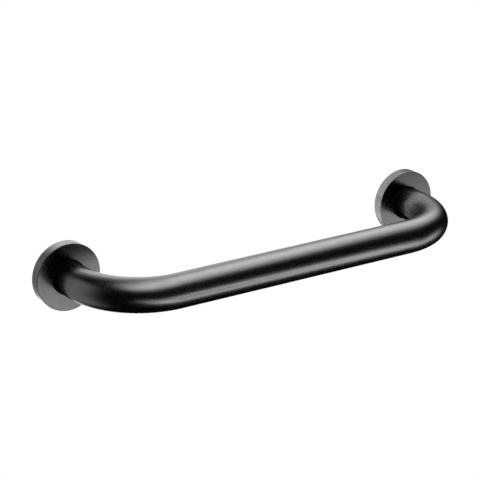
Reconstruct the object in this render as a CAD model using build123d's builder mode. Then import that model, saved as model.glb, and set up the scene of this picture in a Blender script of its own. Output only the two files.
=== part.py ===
from build123d import *
import os

# Wall-mounted grab bar: a bent tube on two round rosettes, with a concealed fixing.
# The wall is the plane Y = 0, the bar stands out towards -Y and runs along X, and +Z is up.
# The origin is on the wall, midway between the two fixings. All sizes are in millimetres.

# Tube
fixing_centres = 300.0
tube_diameter = 25.0
tube_wall = 1.5
bend_radius = 50.0
straight_leg = 14.0
tube_end_chamfer = 0.3

# Rosettes: turned discs with a recess towards the wall and a shallow socket for the tube's end
rosette_diameter = 50.0
rosette_depth = 8.5
rosette_rim_wall = 3.0
rosette_edge_radius = 0.5
rosette_back_chamfer = 0.4
tube_socket_depth = 1.0
tube_socket_clearance = 0.7

# Sealing rings: soft rings that close the gap between the tube's ends and their sockets
seal_below_face = 0.1
seal_edge_chamfer = 0.15

# Wall plates: discs with a dovetailed edge that narrows towards the wall
plate_side_clearance = 0.3
plate_front_clearance = 0.4
plate_lip = 0.8
plate_foot = 1.4
plate_edge_chamfer = 0.4
wall_screw_hole = 5.2
countersink_depth = 2.2
countersink_angle = 90.0

# Tube plugs: brazed into the tube's ends, with a spigot that centres the rosette
plug_clear_of_bend = 2.0
plug_chamfer = 0.8
spigot_wall = 2.0
spigot_short_of_floor = 0.2
fit_clearance = 0.05

# Clamp screws: flanged button heads with a hexagon socket, driven from the wall side
clamp_thread = 8.0
clamp_engagement = 9.0
clamp_point_chamfer = 0.8
clamp_bearing = 2.5
clamp_flange_thickness = 1.4
clamp_flange_step = 2.0
clamp_head_height = 4.4
clamp_head_behind_wall = 1.1
clamp_socket_across_flats = 5.0
clamp_socket_depth = 2.6
clamp_socket_land = 1.1
clamp_flange_clearance = 0.8

# Grub screws: cone points with a hexagon socket, driven from below
grub_thread = 4.0
grub_below_rim = 0.4
grub_tip_flat = 0.6
grub_seat_clearance = 0.05
grub_socket_across_flats = 2.0
grub_socket_depth = 1.6

# Tube sizes that follow
half_centres = fixing_centres / 2
tube_radius = tube_diameter / 2
tube_bore_radius = tube_radius - tube_wall
bar_projection = rosette_depth + straight_leg + bend_radius
tube_seat = rosette_depth - tube_socket_depth

# Clamp screw and spigot sizes that follow from the thread
spigot_radius = clamp_thread / 2 + spigot_wall
clamp_flange_radius = spigot_radius + clamp_bearing
clamp_head_radius = clamp_flange_radius - clamp_flange_step
recess_depth = clamp_head_height + clamp_head_behind_wall

# Rosette and wall plate sizes that follow
rosette_radius = rosette_diameter / 2
recess_radius = rosette_radius - rosette_rim_wall
tube_socket_radius = tube_radius + tube_socket_clearance
plate_radius = recess_radius - plate_side_clearance
plate_thickness = recess_depth - plate_front_clearance
dovetail_height = plate_thickness - plate_lip - plate_foot
plate_foot_radius = plate_radius - dovetail_height
plate_opening_radius = clamp_flange_radius + clamp_flange_clearance
wall_screw_offset = (plate_opening_radius + plate_radius) / 2

# Grub screw sizes that follow: its point meets the middle of the dovetail
grub_radius = grub_thread / 2 - fit_clearance
grub_height = plate_foot + dovetail_height / 2
grub_apex_radius = plate_radius - dovetail_height / 2 + grub_seat_clearance


def turning_plane(fixing_x):
    """Plane of a turned profile at one fixing: x is the radius and y the height off the wall."""
    return Plane(origin=(fixing_x, 0, 0), x_dir=(1, 0, 0), z_dir=(0, 0, -1))


def turning_axis(fixing_x):
    """The axis that the pieces at one fixing are turned about, pointing out of the wall."""
    return Axis((fixing_x, 0, 0), (0, -1, 0))


def facing_plane(fixing_x, height):
    """Plane parallel to the wall at a height off it: z points out of the wall and y up."""
    return Plane(origin=(fixing_x, -height, 0), x_dir=(1, 0, 0), z_dir=(0, -1, 0))


def rising_plane(fixing_x, radius):
    """Plane square to a grub screw, below the fixing at a radius from its axis: z points up."""
    return Plane(origin=(fixing_x, -grub_height, -radius))


def hexagon_corner(across_flats):
    """Corner radius of a hexagon, from its width across flats."""
    return across_flats / 3**0.5


def write(piece, name):
    """Labels a finished piece and writes it to a file of its own."""
    piece.part.label = name
    export_step(piece.part, f"parts/{name}.step")


def make_grip_tube(name):
    """The bent tube, whose ends stand square in the sockets of the two rosettes."""
    with BuildPart() as grip_tube:
        with BuildLine(Plane.XY) as centreline:
            FilletPolyline(
                (-half_centres, -tube_seat),
                (-half_centres, -bar_projection),
                (half_centres, -bar_projection),
                (half_centres, -tube_seat),
                radius=bend_radius,
            )
        with BuildSketch(Plane(centreline.line @ 0, z_dir=centreline.line % 0)):
            Circle(tube_radius)
            Circle(tube_bore_radius, mode=Mode.SUBTRACT)
        sweep()
        end_faces = grip_tube.faces().filter_by(GeomType.PLANE)
        chamfer([face.outer_wire().edge() for face in end_faces], tube_end_chamfer)
    write(grip_tube, name)


def make_rosette(name, fixing_x):
    """A recessed disc with a socket for the tube, bored for the spigot and tapped for the grub screw."""
    spigot_hole_radius = spigot_radius + fit_clearance
    with BuildPart() as rosette:
        with BuildSketch(turning_plane(fixing_x)):
            with BuildLine():
                Polyline(
                    (spigot_hole_radius, recess_depth),
                    (recess_radius, recess_depth),
                    (recess_radius, 0),
                    (rosette_radius, 0),
                    (rosette_radius, rosette_depth),
                    (tube_socket_radius, rosette_depth),
                    (tube_socket_radius, tube_seat),
                    (spigot_hole_radius, tube_seat),
                    close=True,
                )
            make_face()
        revolve(axis=turning_axis(fixing_x))
        rims = rosette.edges().filter_by(GeomType.CIRCLE).group_by(SortBy.RADIUS)[-1]
        front_rim, back_rim = rims.sort_by(Axis.Y)
        fillet(front_rim, rosette_edge_radius)
        chamfer(back_rim, rosette_back_chamfer)
        with BuildSketch(rising_plane(fixing_x, rosette_radius)):
            Circle(grub_thread / 2)
        extrude(amount=rosette_radius - plate_foot_radius, mode=Mode.SUBTRACT)
    write(rosette, name)


def make_sealing_ring(name, fixing_x):
    """A soft ring that lies on the socket's floor, between the tube and the socket's wall."""
    with BuildPart() as sealing_ring:
        with BuildSketch(facing_plane(fixing_x, tube_seat)):
            Circle(tube_socket_radius - fit_clearance)
            Circle(tube_radius + fit_clearance, mode=Mode.SUBTRACT)
        extrude(amount=tube_socket_depth - seal_below_face)
        front_edges = sealing_ring.edges().filter_by(GeomType.CIRCLE).group_by(Axis.Y)[0]
        chamfer(front_edges, seal_edge_chamfer)
    write(sealing_ring, name)


def make_wall_plate(name, fixing_x):
    """A dovetailed disc with two countersunk holes, open in the middle for the clamp screw."""
    with BuildPart() as wall_plate:
        with BuildSketch(turning_plane(fixing_x)):
            with BuildLine():
                Polyline(
                    (plate_opening_radius, 0),
                    (plate_foot_radius, 0),
                    (plate_foot_radius, plate_foot),
                    (plate_radius, plate_foot + dovetail_height),
                    (plate_radius, plate_thickness),
                    (plate_opening_radius, plate_thickness),
                    close=True,
                )
            make_face()
        revolve(axis=turning_axis(fixing_x))
        front_edges = wall_plate.edges().filter_by(GeomType.CIRCLE).group_by(Axis.Y)[0]
        chamfer(front_edges.sort_by(SortBy.RADIUS)[-1], plate_edge_chamfer)
        with Locations(facing_plane(fixing_x, plate_thickness)):
            with GridLocations(0, 2 * wall_screw_offset, 1, 2):
                CounterSinkHole(
                    radius=wall_screw_hole / 2,
                    counter_sink_radius=wall_screw_hole / 2 + countersink_depth,
                    counter_sink_angle=countersink_angle,
                )
    write(wall_plate, name)


def make_tube_plug(name, fixing_x):
    """A turned plug that fills the tube's end, tapped right through, with a spigot below it."""
    plug_length = tube_socket_depth + straight_leg - plug_clear_of_bend
    spigot_length = tube_seat - recess_depth - spigot_short_of_floor
    with BuildPart() as tube_plug:
        with BuildSketch(facing_plane(fixing_x, tube_seat)):
            Circle(tube_bore_radius - fit_clearance)
        extrude(amount=plug_length)
        with BuildSketch(facing_plane(fixing_x, tube_seat)):
            Circle(spigot_radius)
        extrude(amount=-spigot_length)
        far_edge = tube_plug.edges().filter_by(GeomType.CIRCLE).sort_by(Axis.Y)[0]
        chamfer(far_edge, plug_chamfer)
        with Locations(facing_plane(fixing_x, tube_seat + plug_length)):
            Hole(clamp_thread / 2)
    write(tube_plug, name)


def make_clamp_screw(name, fixing_x):
    """A flanged button-head screw that pulls the tube plug down onto the rosette."""
    shank_radius = clamp_thread / 2 - fit_clearance
    shank_end = tube_seat + clamp_engagement
    flange_back = recess_depth - clamp_flange_thickness
    crown_radius = hexagon_corner(clamp_socket_across_flats) + clamp_socket_land
    with BuildPart() as clamp_screw:
        with BuildSketch(turning_plane(fixing_x)):
            with BuildLine():
                Polyline(
                    (crown_radius, clamp_head_behind_wall),
                    (0, clamp_head_behind_wall),
                    (0, shank_end),
                    (shank_radius - clamp_point_chamfer, shank_end),
                    (shank_radius, shank_end - clamp_point_chamfer),
                    (shank_radius, recess_depth),
                    (clamp_flange_radius, recess_depth),
                    (clamp_flange_radius, flange_back),
                    (clamp_head_radius, flange_back),
                )
                RadiusArc(
                    (clamp_head_radius, flange_back),
                    (crown_radius, clamp_head_behind_wall),
                    clamp_head_radius,
                )
            make_face()
        revolve(axis=turning_axis(fixing_x))
        with BuildSketch(facing_plane(fixing_x, clamp_head_behind_wall)):
            RegularPolygon(hexagon_corner(clamp_socket_across_flats), 6)
        extrude(amount=clamp_socket_depth, mode=Mode.SUBTRACT)
    write(clamp_screw, name)


def make_grub_screw(name, fixing_x):
    """An upright cone-point set screw that reaches behind the wall plate's dovetail."""
    outer_end = rosette_radius - grub_below_rim
    tip_radius = grub_tip_flat / 2
    with BuildPart() as grub_screw:
        with BuildSketch(rising_plane(fixing_x, outer_end)):
            Circle(grub_radius)
        extrude(amount=outer_end - grub_apex_radius - tip_radius)
        point_edge = grub_screw.edges().filter_by(GeomType.CIRCLE).sort_by(Axis.Z)[-1]
        chamfer(point_edge, grub_radius - tip_radius)
        with BuildSketch(rising_plane(fixing_x, outer_end)):
            RegularPolygon(hexagon_corner(grub_socket_across_flats), 6)
        extrude(amount=grub_socket_depth, mode=Mode.SUBTRACT)
    write(grub_screw, name)


os.makedirs("parts", exist_ok=True)
make_grip_tube("grip_tube")
for side, fixing_x in (("left", -half_centres), ("right", half_centres)):
    make_rosette(f"{side}_rosette", fixing_x)
    make_sealing_ring(f"{side}_sealing_ring", fixing_x)
    make_wall_plate(f"{side}_wall_plate", fixing_x)
    make_tube_plug(f"{side}_tube_plug", fixing_x)
    make_clamp_screw(f"{side}_clamp_screw", fixing_x)
    make_grub_screw(f"{side}_grub_screw", fixing_x)
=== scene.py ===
import math

import bpy
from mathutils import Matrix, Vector


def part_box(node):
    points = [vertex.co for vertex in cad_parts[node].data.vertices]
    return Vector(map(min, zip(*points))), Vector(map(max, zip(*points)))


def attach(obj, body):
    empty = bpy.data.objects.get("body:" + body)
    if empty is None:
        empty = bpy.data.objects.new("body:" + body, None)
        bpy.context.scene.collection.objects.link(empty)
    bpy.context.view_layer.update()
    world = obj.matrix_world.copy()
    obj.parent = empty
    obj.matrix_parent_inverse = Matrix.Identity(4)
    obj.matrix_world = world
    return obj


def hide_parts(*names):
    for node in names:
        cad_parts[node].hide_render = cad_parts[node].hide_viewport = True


# A wall-fixed grab bar: one bent tube in brushed graphite metal on two round rosettes
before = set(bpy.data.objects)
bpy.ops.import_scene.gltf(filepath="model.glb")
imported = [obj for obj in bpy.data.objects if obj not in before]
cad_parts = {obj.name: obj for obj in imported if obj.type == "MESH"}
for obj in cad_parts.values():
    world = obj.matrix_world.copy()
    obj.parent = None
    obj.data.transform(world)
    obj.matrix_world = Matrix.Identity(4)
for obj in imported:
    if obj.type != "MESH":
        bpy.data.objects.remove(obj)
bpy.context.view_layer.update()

# Sizes read from the frame, in metres
tube_low, tube_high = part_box("grip_tube")
left_low, left_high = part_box("left_rosette")
right_low, right_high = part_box("right_rosette")
TUBE_RADIUS = round(-tube_low.z, 4)
TUBE_SEAT = round(tube_high.y, 4)
BAR_AXIS = round(tube_low.y, 4) + TUBE_RADIUS
LEFT_FIXING = (left_low.x + left_high.x) / 2
RIGHT_FIXING = (right_low.x + right_high.x) / 2

# Sizes of the bent tube that no box shows
BEND_RADIUS = 0.050
TUBE_WALL = 0.0015
TUBE_END_CHAMFER = 0.0003
BEND_STEPS = 48
ROUND_STEPS = 128
CHAMFER_ANGLE = math.radians(60)
SHARP_ANGLE = math.radians(30)

# Finishes: linear colours, roughness, how far the roughness varies, and the depth of the strokes in metres
GRAPHITE_PALE = (0.220, 0.224, 0.219, 1)
GRAPHITE_DEEP = (0.172, 0.176, 0.171, 1)
TUBE_ROUGHNESS = 0.27
ROSETTE_ROUGHNESS = 0.22
GRAPHITE_SPREAD = 0.03
GRAPHITE_STROKE_DEPTH = 0.000002
BARE_STEEL_PALE = (0.54, 0.54, 0.525, 1)
BARE_STEEL_DEEP = (0.40, 0.40, 0.388, 1)
BARE_STEEL_ROUGHNESS = 0.46
BARE_STEEL_SPREAD = 0.16
BARE_STEEL_STROKE_DEPTH = 0.000012
SCREW_STEEL_PALE = (0.56, 0.55, 0.525, 1)
SCREW_STEEL_DEEP = (0.44, 0.435, 0.415, 1)
BLACK_OXIDE_PALE = (0.060, 0.060, 0.062, 1)
BLACK_OXIDE_DEEP = (0.036, 0.036, 0.038, 1)
SCREW_ROUGHNESS = 0.42
SCREW_SPREAD = 0.10
SCREW_STROKE_DEPTH = 0.000006
RUBBER_PALE = (0.016, 0.016, 0.016, 1)
RUBBER_DEEP = (0.009, 0.009, 0.009, 1)
RUBBER_ROUGHNESS = 0.58
RUBBER_SPREAD = 0.2
RUBBER_SKIN_DEPTH = 0.00001

# Brushing along the tube: spots of noise to a metre of its length and to a radian round it
STROKES_ALONG_TUBE = 150.0
STROKES_ROUND_TUBE = 11.0

# Brushing and turning round a fixing: spots to a radian round its axis and to a metre out from it
STROKES_ROUND_FIXING = 1.5
ROSETTE_STROKES = 2200.0
TURNING_STROKES = 900.0
FIXING_AXIS_MARGIN = 0.001

# Noise: the part of its range that is used, and its layers
GRAIN_LOW = 0.3
GRAIN_HIGH = 0.7
GRAIN_ROUGHNESS = 0.6
GRAIN_DETAIL = 3.0

# Soft clouds in the metals and the rubber's skin, in spots to a metre, and the strokes' share in a colour
CLOUDS = 90.0
CLOUD_DETAIL = 2.0
RUBBER_SKIN = 2600.0
STROKE_SHARE = 0.6

# The Mix node's colour sockets, whose names it uses more than once
MIX_SHARE = 0
MIX_FIRST_COLOUR = 6
MIX_SECOND_COLOUR = 7
MIX_COLOUR = 2

# Camera, fitted to the photo's outline, in degrees and metres, and its lens in millimetres
CAMERA_AZIMUTH = -33.40
CAMERA_ELEVATION = 19.76
CAMERA_DISTANCE = 1.3359
CAMERA_TARGET = Vector((-0.02481, -0.03643, 0.01149))
CAMERA_LENS = 138.59
SENSOR_WIDTH = 36.0

# Floor and tent, in metres
FLOOR_DROP = 1.75
FLOOR_HALF_WIDTH = 12.0
TENT_RADIUS = 0.5

# The floor's colour, the tent's mesh, the light of its dark cloth, and how far round a lit patch may reach
FLOOR_COLOUR = (0.9, 0.9, 0.9, 1)
TENT_SEGMENTS = 64
TENT_RINGS = 32
TENT_DARK = 0.001
PATCH_HORIZON = 0.001


class Wire:
    """One output of a node. Maths on wires adds Math nodes to the tree that they are in."""

    def __init__(self, tree, socket=None):
        self.tree = tree
        self.socket = socket

    def node(self, kind, settings, inputs, output=0):
        """Adds a node, makes its settings, fills its inputs with values or wires, and gives one output."""
        made = self.tree.nodes.new(kind)
        for name, value in settings.items():
            setattr(made, name, value)
        for name, value in inputs.items():
            if isinstance(value, Wire):
                self.tree.links.new(value.socket, made.inputs[name])
            else:
                made.inputs[name].default_value = value
        return Wire(self.tree, made.outputs[output])

    def maths(self, operation, *values):
        return self.node("ShaderNodeMath", {"operation": operation}, dict(enumerate(values)))

    def vector_maths(self, operation, *values, output="Vector"):
        return self.node("ShaderNodeVectorMath", {"operation": operation}, dict(enumerate(values)), output)

    def part(self, axis):
        """One of the x, y and z parts of a vector."""
        return self.node("ShaderNodeSeparateXYZ", {}, {0: self}, axis)

    def dot(self, direction):
        return self.vector_maths("DOT_PRODUCT", self, direction, output="Value")

    def __add__(self, other):
        return self.maths("ADD", self, other)

    def __sub__(self, other):
        return self.maths("SUBTRACT", self, other)

    def __rsub__(self, other):
        return self.maths("SUBTRACT", other, self)

    def __mul__(self, other):
        return self.maths("MULTIPLY", self, other)

    def __truediv__(self, other):
        return self.maths("DIVIDE", self, other)

    __radd__ = __add__
    __rmul__ = __mul__


def material(name):
    """A material with an empty node tree, the tree's first wire, and its output node's surface socket."""
    made = bpy.data.materials.new(name)
    made.use_nodes = True
    made.node_tree.nodes.clear()
    end = made.node_tree.nodes.new("ShaderNodeOutputMaterial")
    return made, Wire(made.node_tree), end.inputs["Surface"]


def vector(x, y, z):
    """A vector of three wires or numbers, of which the first is a wire."""
    return x.node("ShaderNodeCombineXYZ", {}, {0: x, 1: y, 2: z})


def object_place(start):
    """The place on the object, in metres from its origin."""
    return start.node("ShaderNodeTexCoord", {}, {}, "Object")


def grain(place, scale=1.0, detail=GRAIN_DETAIL):
    """Noise at a place, spread out over the whole way from 0 to 1."""
    noise = place.node("ShaderNodeTexNoise", {"noise_dimensions": "3D"}, {
        "Vector": place,
        "Scale": scale,
        "Detail": detail,
        "Roughness": GRAIN_ROUGHNESS,
    })
    return place.node("ShaderNodeMapRange", {}, {
        "Value": noise,
        "From Min": GRAIN_LOW,
        "From Max": GRAIN_HIGH,
    })


def bump(height, depth):
    """Normals for a surface whose height runs from 0 to 1, over a depth in metres."""
    return height.node("ShaderNodeBump", {}, {"Strength": 1.0, "Distance": depth, "Height": height})


def mixed(share, first, second):
    """A colour between two, by a share from 0 to 1."""
    return share.node("ShaderNodeMix", {"data_type": "RGBA"}, {
        MIX_SHARE: share,
        MIX_FIRST_COLOUR: first,
        MIX_SECOND_COLOUR: second,
    }, MIX_COLOUR)


def metal(name, strokes, pale, deep, roughness, spread, depth):
    """A brushed metal. Strokes gives a wire with the place on the surface, stretched along the brushing."""
    made, start, surface = material(name)
    brushing = grain(strokes(start))
    clouds = grain(object_place(start), CLOUDS, CLOUD_DETAIL)
    shader = start.node("ShaderNodeBsdfPrincipled", {}, {
        "Base Color": mixed(brushing * STROKE_SHARE + clouds * (1 - STROKE_SHARE), deep, pale),
        "Metallic": 1.0,
        "Roughness": roughness + (brushing - 0.5) * spread + (clouds - 0.5) * (spread / 2),
        "Normal": bump(brushing, depth),
    })
    made.node_tree.links.new(shader.socket, surface)
    return made


def rubber(name, pale, deep):
    """A soft matt rubber with a fine uneven skin."""
    made, start, surface = material(name)
    skin = grain(object_place(start), RUBBER_SKIN)
    shader = start.node("ShaderNodeBsdfPrincipled", {}, {
        "Base Color": mixed(skin, deep, pale),
        "Roughness": RUBBER_ROUGHNESS + skin * RUBBER_SPREAD,
        "Normal": bump(skin, RUBBER_SKIN_DEPTH),
    })
    made.node_tree.links.new(shader.socket, surface)
    return made


def strokes_along_tube(start):
    """Brushing that runs lengthwise, along the tube's bends and straights alike."""
    along = start.node("ShaderNodeAttribute", {"attribute_name": "along"}, {}, "Fac")
    ring = start.node("ShaderNodeAttribute", {"attribute_name": "ring"}, {}, "Vector")
    return vector(
        ring.part("X") * STROKES_ROUND_TUBE,
        ring.part("Y") * STROKES_ROUND_TUBE,
        along * STROKES_ALONG_TUBE,
    )


def strokes_round_fixing(fineness):
    """Brushing or turning that runs round each fixing's axis, with so many strokes in a metre of face."""
    def strokes(start):
        place = object_place(start)
        across = start.maths("ABSOLUTE", place.part("X")) - RIGHT_FIXING
        up = place.part("Z")
        reach = start.maths("SQRT", across * across + up * up)
        off_axis = reach + FIXING_AXIS_MARGIN
        return vector(
            across / off_axis * STROKES_ROUND_FIXING,
            up / off_axis * STROKES_ROUND_FIXING,
            (reach + place.part("Y")) * fineness,
        )
    return strokes


def bent_tube_tree():
    """A node tree that bends a route of straight runs, sweeps a ring along it and marks the surface."""
    tree = bpy.data.node_groups.new("bent_tube", "GeometryNodeTree")
    tree.is_modifier = True
    sockets = (
        ("Route", "NodeSocketGeometry"),
        ("Bend Radius", "NodeSocketFloat"),
        ("Bend Steps", "NodeSocketInt"),
        ("Tube Radius", "NodeSocketFloat"),
        ("Round Steps", "NodeSocketInt"),
        ("Finish", "NodeSocketMaterial"),
    )
    for name, kind in sockets:
        tree.interface.new_socket(name, in_out="INPUT", socket_type=kind)
    tree.interface.new_socket("Tube", in_out="OUTPUT", socket_type="NodeSocketGeometry")
    entry = tree.nodes.new("NodeGroupInput")
    given = {name: Wire(tree, entry.outputs[name]) for name, kind in sockets}
    start = Wire(tree)
    line = start.node("GeometryNodeMeshToCurve", {}, {"Mesh": given["Route"]})
    bent = start.node("GeometryNodeFilletCurve", {"mode": "POLY"}, {
        "Curve": line,
        "Count": given["Bend Steps"],
        "Radius": given["Bend Radius"],
    })
    length = start.node("GeometryNodeSplineParameter", {}, {}, "Length")
    path = start.node("GeometryNodeStoreNamedAttribute", {"data_type": "FLOAT", "domain": "POINT"}, {
        "Geometry": bent,
        "Name": "along",
        "Value": length,
    })
    circle = start.node("GeometryNodeCurvePrimitiveCircle", {"mode": "RADIUS"}, {
        "Resolution": given["Round Steps"],
        "Radius": given["Tube Radius"],
    })
    outward = start.vector_maths("NORMALIZE", start.node("GeometryNodeInputPosition", {}, {}))
    ring = start.node("GeometryNodeStoreNamedAttribute", {"data_type": "FLOAT_VECTOR", "domain": "POINT"}, {
        "Geometry": circle,
        "Name": "ring",
        "Value": outward,
    })
    swept = start.node("GeometryNodeCurveToMesh", {}, {"Curve": path, "Profile Curve": ring})
    smooth = start.node("GeometryNodeSetShadeSmooth", {}, {"Geometry": swept})
    real = start.node("GeometryNodeRealizeInstances", {}, {"Geometry": smooth})
    finished = start.node("GeometryNodeSetMaterial", {}, {"Geometry": real, "Material": given["Finish"]})
    leave = tree.nodes.new("NodeGroupOutput")
    tree.links.new(finished.socket, leave.inputs["Tube"])
    return tree


def set_inputs(modifier, values):
    """Sets a Geometry Nodes modifier's inputs by the names that its tree gives them."""
    for item in modifier.node_group.interface.items_tree:
        if item.item_type == "SOCKET" and item.in_out == "INPUT" and item.name in values:
            modifier[item.identifier] = values[item.name]


def make_grip_tube(finish):
    """The bent tube: open at both ends, its wall inside the outer surface, its ends lightly broken."""
    corners = [
        (LEFT_FIXING, TUBE_SEAT, 0),
        (LEFT_FIXING, BAR_AXIS, 0),
        (RIGHT_FIXING, BAR_AXIS, 0),
        (RIGHT_FIXING, TUBE_SEAT, 0),
    ]
    route = bpy.data.meshes.new("grip_tube_route")
    route.from_pydata(corners, [(0, 1), (1, 2), (2, 3)], [])
    tube = bpy.data.objects.new("grip_tube_brushed", route)
    bpy.context.scene.collection.objects.link(tube)
    sweep = tube.modifiers.new("sweep", "NODES")
    sweep.node_group = bent_tube_tree()
    set_inputs(sweep, {
        "Bend Radius": BEND_RADIUS,
        "Bend Steps": BEND_STEPS,
        "Tube Radius": TUBE_RADIUS,
        "Round Steps": ROUND_STEPS,
        "Finish": finish,
    })
    wall = tube.modifiers.new("wall", "SOLIDIFY")
    wall.thickness = TUBE_WALL
    wall.offset = -1
    broken = tube.modifiers.new("broken_ends", "BEVEL")
    broken.width = TUBE_END_CHAMFER
    broken.segments = 1
    broken.limit_method = "ANGLE"
    broken.angle_limit = CHAMFER_ANGLE
    evaluated = tube.evaluated_get(bpy.context.evaluated_depsgraph_get())
    mesh = bpy.data.meshes.new_from_object(evaluated)
    mesh.name = "grip_tube_brushed"
    mesh.set_sharp_from_angle(angle=SHARP_ANGLE)
    tube.modifiers.clear()
    tube.data = mesh
    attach(tube, "root")
    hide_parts("grip_tube")


def dress_nodes(finishes):
    """Gives each solid that stays its finish, by the end of its name."""
    for name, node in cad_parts.items():
        for part, finish in finishes.items():
            if name.endswith(part):
                node.data.materials.clear()
                node.data.materials.append(finish)


def facing(azimuth, elevation):
    """A direction from the origin, by angles in degrees. Azimuth 0 is the room side, 90 is the right."""
    turned = math.radians(azimuth)
    raised = math.radians(elevation)
    return Vector((
        math.sin(turned) * math.cos(raised),
        -math.cos(turned) * math.cos(raised),
        math.sin(raised),
    ))


def softened(distance, softness):
    """1 inside a lit patch and 0 outside it, by a distance that is 1 in the middle of its soft edge."""
    return distance.node("ShaderNodeMapRange", {"interpolation_type": "SMOOTHSTEP"}, {
        "Value": distance.maths("ABSOLUTE", distance),
        "From Min": 1 - softness,
        "From Max": 1 + softness,
        "To Min": 1.0,
        "To Max": 0.0,
    })


def lit_patch(place, azimuth, elevation, turn, half_width, half_height, side_softness, top_softness, light):
    """A four-sided lit patch of the tent's cloth, with its half sizes as slopes from the tent's middle."""
    middle = facing(azimuth, elevation)
    level = facing(azimuth + 90, 0)
    rise = middle.cross(level)
    cosine = math.cos(math.radians(turn))
    sine = math.sin(math.radians(turn))
    wide = level * cosine + rise * sine
    tall = rise * cosine - level * sine
    ahead = place.dot(middle)
    depth = place.maths("MAXIMUM", ahead, PATCH_HORIZON)
    across = softened(place.dot(wide) / depth / half_width, side_softness)
    upward = softened(place.dot(tall) / depth / half_height, top_softness)
    return across * upward * place.maths("GREATER_THAN", ahead, PATCH_HORIZON) * light


def make_tent():
    """A small dark tent, closed all round the bar, with soft lit patches for the metal to mirror."""
    made, start, surface = material("tent_cloth")
    place = start.vector_maths("NORMALIZE", object_place(start))
    # Another program fitted ten of these patches to the photo's reflections, and they were then rounded.
    # The dim sheet's light and the strip at azimuth 28 were changed after that.
    # The strip at azimuth 5 and the spot behind were added.
    patches = [
        # The long lamp overhead, which draws the broad band along the top of the bar
        lit_patch(place, azimuth=67, elevation=72.5, turn=-37, half_width=1.58, half_height=0.405,
                  side_softness=0.55, top_softness=1.0, light=2.3),
        # The cloth that it lights behind, and at its right end
        lit_patch(place, azimuth=175, elevation=39, turn=-54, half_width=1.27, half_height=0.40,
                  side_softness=0.55, top_softness=1.0, light=0.72),
        lit_patch(place, azimuth=121, elevation=30, turn=22, half_width=0.31, half_height=0.21,
                  side_softness=1.0, top_softness=0.4, light=0.36),
        # The low bounce in front: a dim sheet for the rosettes' faces
        lit_patch(place, azimuth=14, elevation=-21, turn=2, half_width=0.58, half_height=0.29,
                  side_softness=0.05, top_softness=0.15, light=0.35),
        # Brighter strips, for the lower band along the bar
        lit_patch(place, azimuth=28, elevation=-17.5, turn=0, half_width=0.23, half_height=0.085,
                  side_softness=0.05, top_softness=0.8, light=1.45),
        lit_patch(place, azimuth=5, elevation=-14.5, turn=0, half_width=0.16, half_height=0.06,
                  side_softness=0.8, top_softness=0.8, light=1.8),
        lit_patch(place, azimuth=49, elevation=-25.5, turn=32, half_width=0.53, half_height=0.145,
                  side_softness=0.5, top_softness=0.95, light=1.55),
        lit_patch(place, azimuth=-10, elevation=-28.5, turn=-26, half_width=0.44, half_height=0.15,
                  side_softness=1.0, top_softness=0.4, light=1.5),
        # The dim side on the left
        lit_patch(place, azimuth=-111, elevation=-8.5, turn=-4, half_width=0.36, half_height=0.85,
                  side_softness=1.0, top_softness=0.35, light=0.5),
        # The bright cloth behind, for the rosettes' rims, and its brighter middle
        lit_patch(place, azimuth=175, elevation=-2.5, turn=-21, half_width=0.88, half_height=0.97,
                  side_softness=1.0, top_softness=0.15, light=1.1),
        lit_patch(place, azimuth=-177.5, elevation=-16, turn=-43, half_width=0.40, half_height=0.42,
                  side_softness=0.05, top_softness=0.6, light=1.3),
        # A spot behind, for the inside of the right bend
        lit_patch(place, azimuth=-168, elevation=10, turn=0, half_width=0.14, half_height=0.16,
                  side_softness=0.8, top_softness=0.8, light=1.8),
    ]
    emission = start.node("ShaderNodeEmission", {}, {"Color": sum(patches, TENT_DARK), "Strength": 1.0})
    made.node_tree.links.new(emission.socket, surface)
    bpy.ops.mesh.primitive_uv_sphere_add(segments=TENT_SEGMENTS, ring_count=TENT_RINGS, radius=TENT_RADIUS)
    tent = bpy.context.object
    tent.name = "tent"
    tent.data.materials.append(made)
    tent.visible_camera = False


def seen_straight(start):
    """1 for the rays of the camera, of mirrors and of glass, and 0 for the rest."""
    rays = [start.node("ShaderNodeLightPath", {}, {}, name)
            for name in ("Is Camera Ray", "Is Glossy Ray", "Is Transmission Ray")]
    return start.maths("MINIMUM", sum(rays), 1.0)


def make_floor():
    """A plain pale floor far below the bar, white where it is looked at straight."""
    made, start, surface = material("pale_floor")
    pale = start.node("ShaderNodeBsdfDiffuse", {}, {"Color": FLOOR_COLOUR})
    white = start.node("ShaderNodeEmission", {}, {"Strength": 1.0})
    both = start.node("ShaderNodeMixShader", {}, {0: seen_straight(start), 1: pale, 2: white})
    made.node_tree.links.new(both.socket, surface)
    bpy.ops.mesh.primitive_plane_add(size=2 * FLOOR_HALF_WIDTH, location=(0, 0, -FLOOR_DROP))
    floor = bpy.context.object
    floor.name = "floor"
    floor.data.materials.append(made)


def make_world():
    """White all round where it is looked at straight, and no other light."""
    world = bpy.data.worlds.new("white_room")
    bpy.context.scene.world = world
    world.use_nodes = True
    world.node_tree.nodes.clear()
    end = world.node_tree.nodes.new("ShaderNodeOutputWorld")
    start = Wire(world.node_tree)
    white = start.node("ShaderNodeBackground", {}, {"Color": seen_straight(start), "Strength": 1.0})
    world.node_tree.links.new(white.socket, end.inputs["Surface"])


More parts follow.
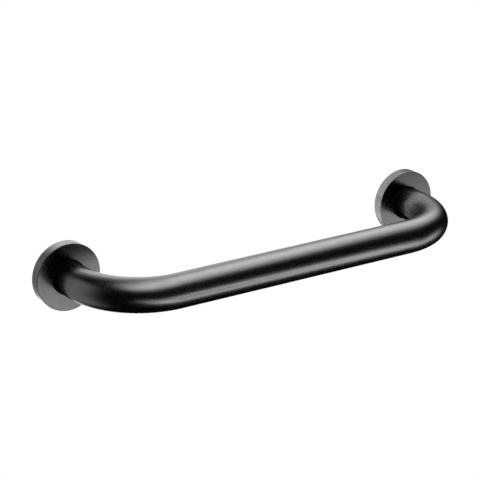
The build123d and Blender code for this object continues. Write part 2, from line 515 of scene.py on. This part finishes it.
def make_camera():
    """The camera, at the photo's viewing angle."""
    back = facing(CAMERA_AZIMUTH, CAMERA_ELEVATION)
    lens = bpy.data.cameras.new("camera")
    lens.lens = CAMERA_LENS
    lens.sensor_width = SENSOR_WIDTH
    camera = bpy.data.objects.new("camera", lens)
    camera.location = CAMERA_TARGET + back * CAMERA_DISTANCE
    camera.rotation_euler = (-back).to_track_quat("-Z", "Y").to_euler()
    bpy.context.scene.collection.objects.link(camera)
    bpy.context.scene.camera = camera


tube_finish = metal("graphite_tube", strokes_along_tube, GRAPHITE_PALE, GRAPHITE_DEEP,
                    TUBE_ROUGHNESS, GRAPHITE_SPREAD, GRAPHITE_STROKE_DEPTH)
rosette_finish = metal("graphite_rosette", strokes_round_fixing(ROSETTE_STROKES),
                       GRAPHITE_PALE, GRAPHITE_DEEP,
                       ROSETTE_ROUGHNESS, GRAPHITE_SPREAD, GRAPHITE_STROKE_DEPTH)
bare_finish = metal("bare_steel", strokes_round_fixing(TURNING_STROKES),
                    BARE_STEEL_PALE, BARE_STEEL_DEEP,
                    BARE_STEEL_ROUGHNESS, BARE_STEEL_SPREAD, BARE_STEEL_STROKE_DEPTH)
screw_finish = metal("screw_steel", strokes_round_fixing(TURNING_STROKES),
                     SCREW_STEEL_PALE, SCREW_STEEL_DEEP,
                     SCREW_ROUGHNESS, SCREW_SPREAD, SCREW_STROKE_DEPTH)
black_finish = metal("black_oxide", strokes_round_fixing(TURNING_STROKES),
                     BLACK_OXIDE_PALE, BLACK_OXIDE_DEEP,
                     SCREW_ROUGHNESS, SCREW_SPREAD, SCREW_STROKE_DEPTH)
seal_finish = rubber("black_rubber", RUBBER_PALE, RUBBER_DEEP)

make_grip_tube(tube_finish)
dress_nodes({
    "rosette": rosette_finish,
    "wall_plate": bare_finish,
    "tube_plug": bare_finish,
    "clamp_screw": screw_finish,
    "grub_screw": black_finish,
    "sealing_ring": seal_finish,
})
make_tent()
make_floor()
make_world()
make_camera()
bpy.context.scene.view_settings.view_transform = "Standard"
# One reflection only, because the photo's rosettes are black where they would mirror the tube
bpy.context.scene.cycles.glossy_bounces = 0
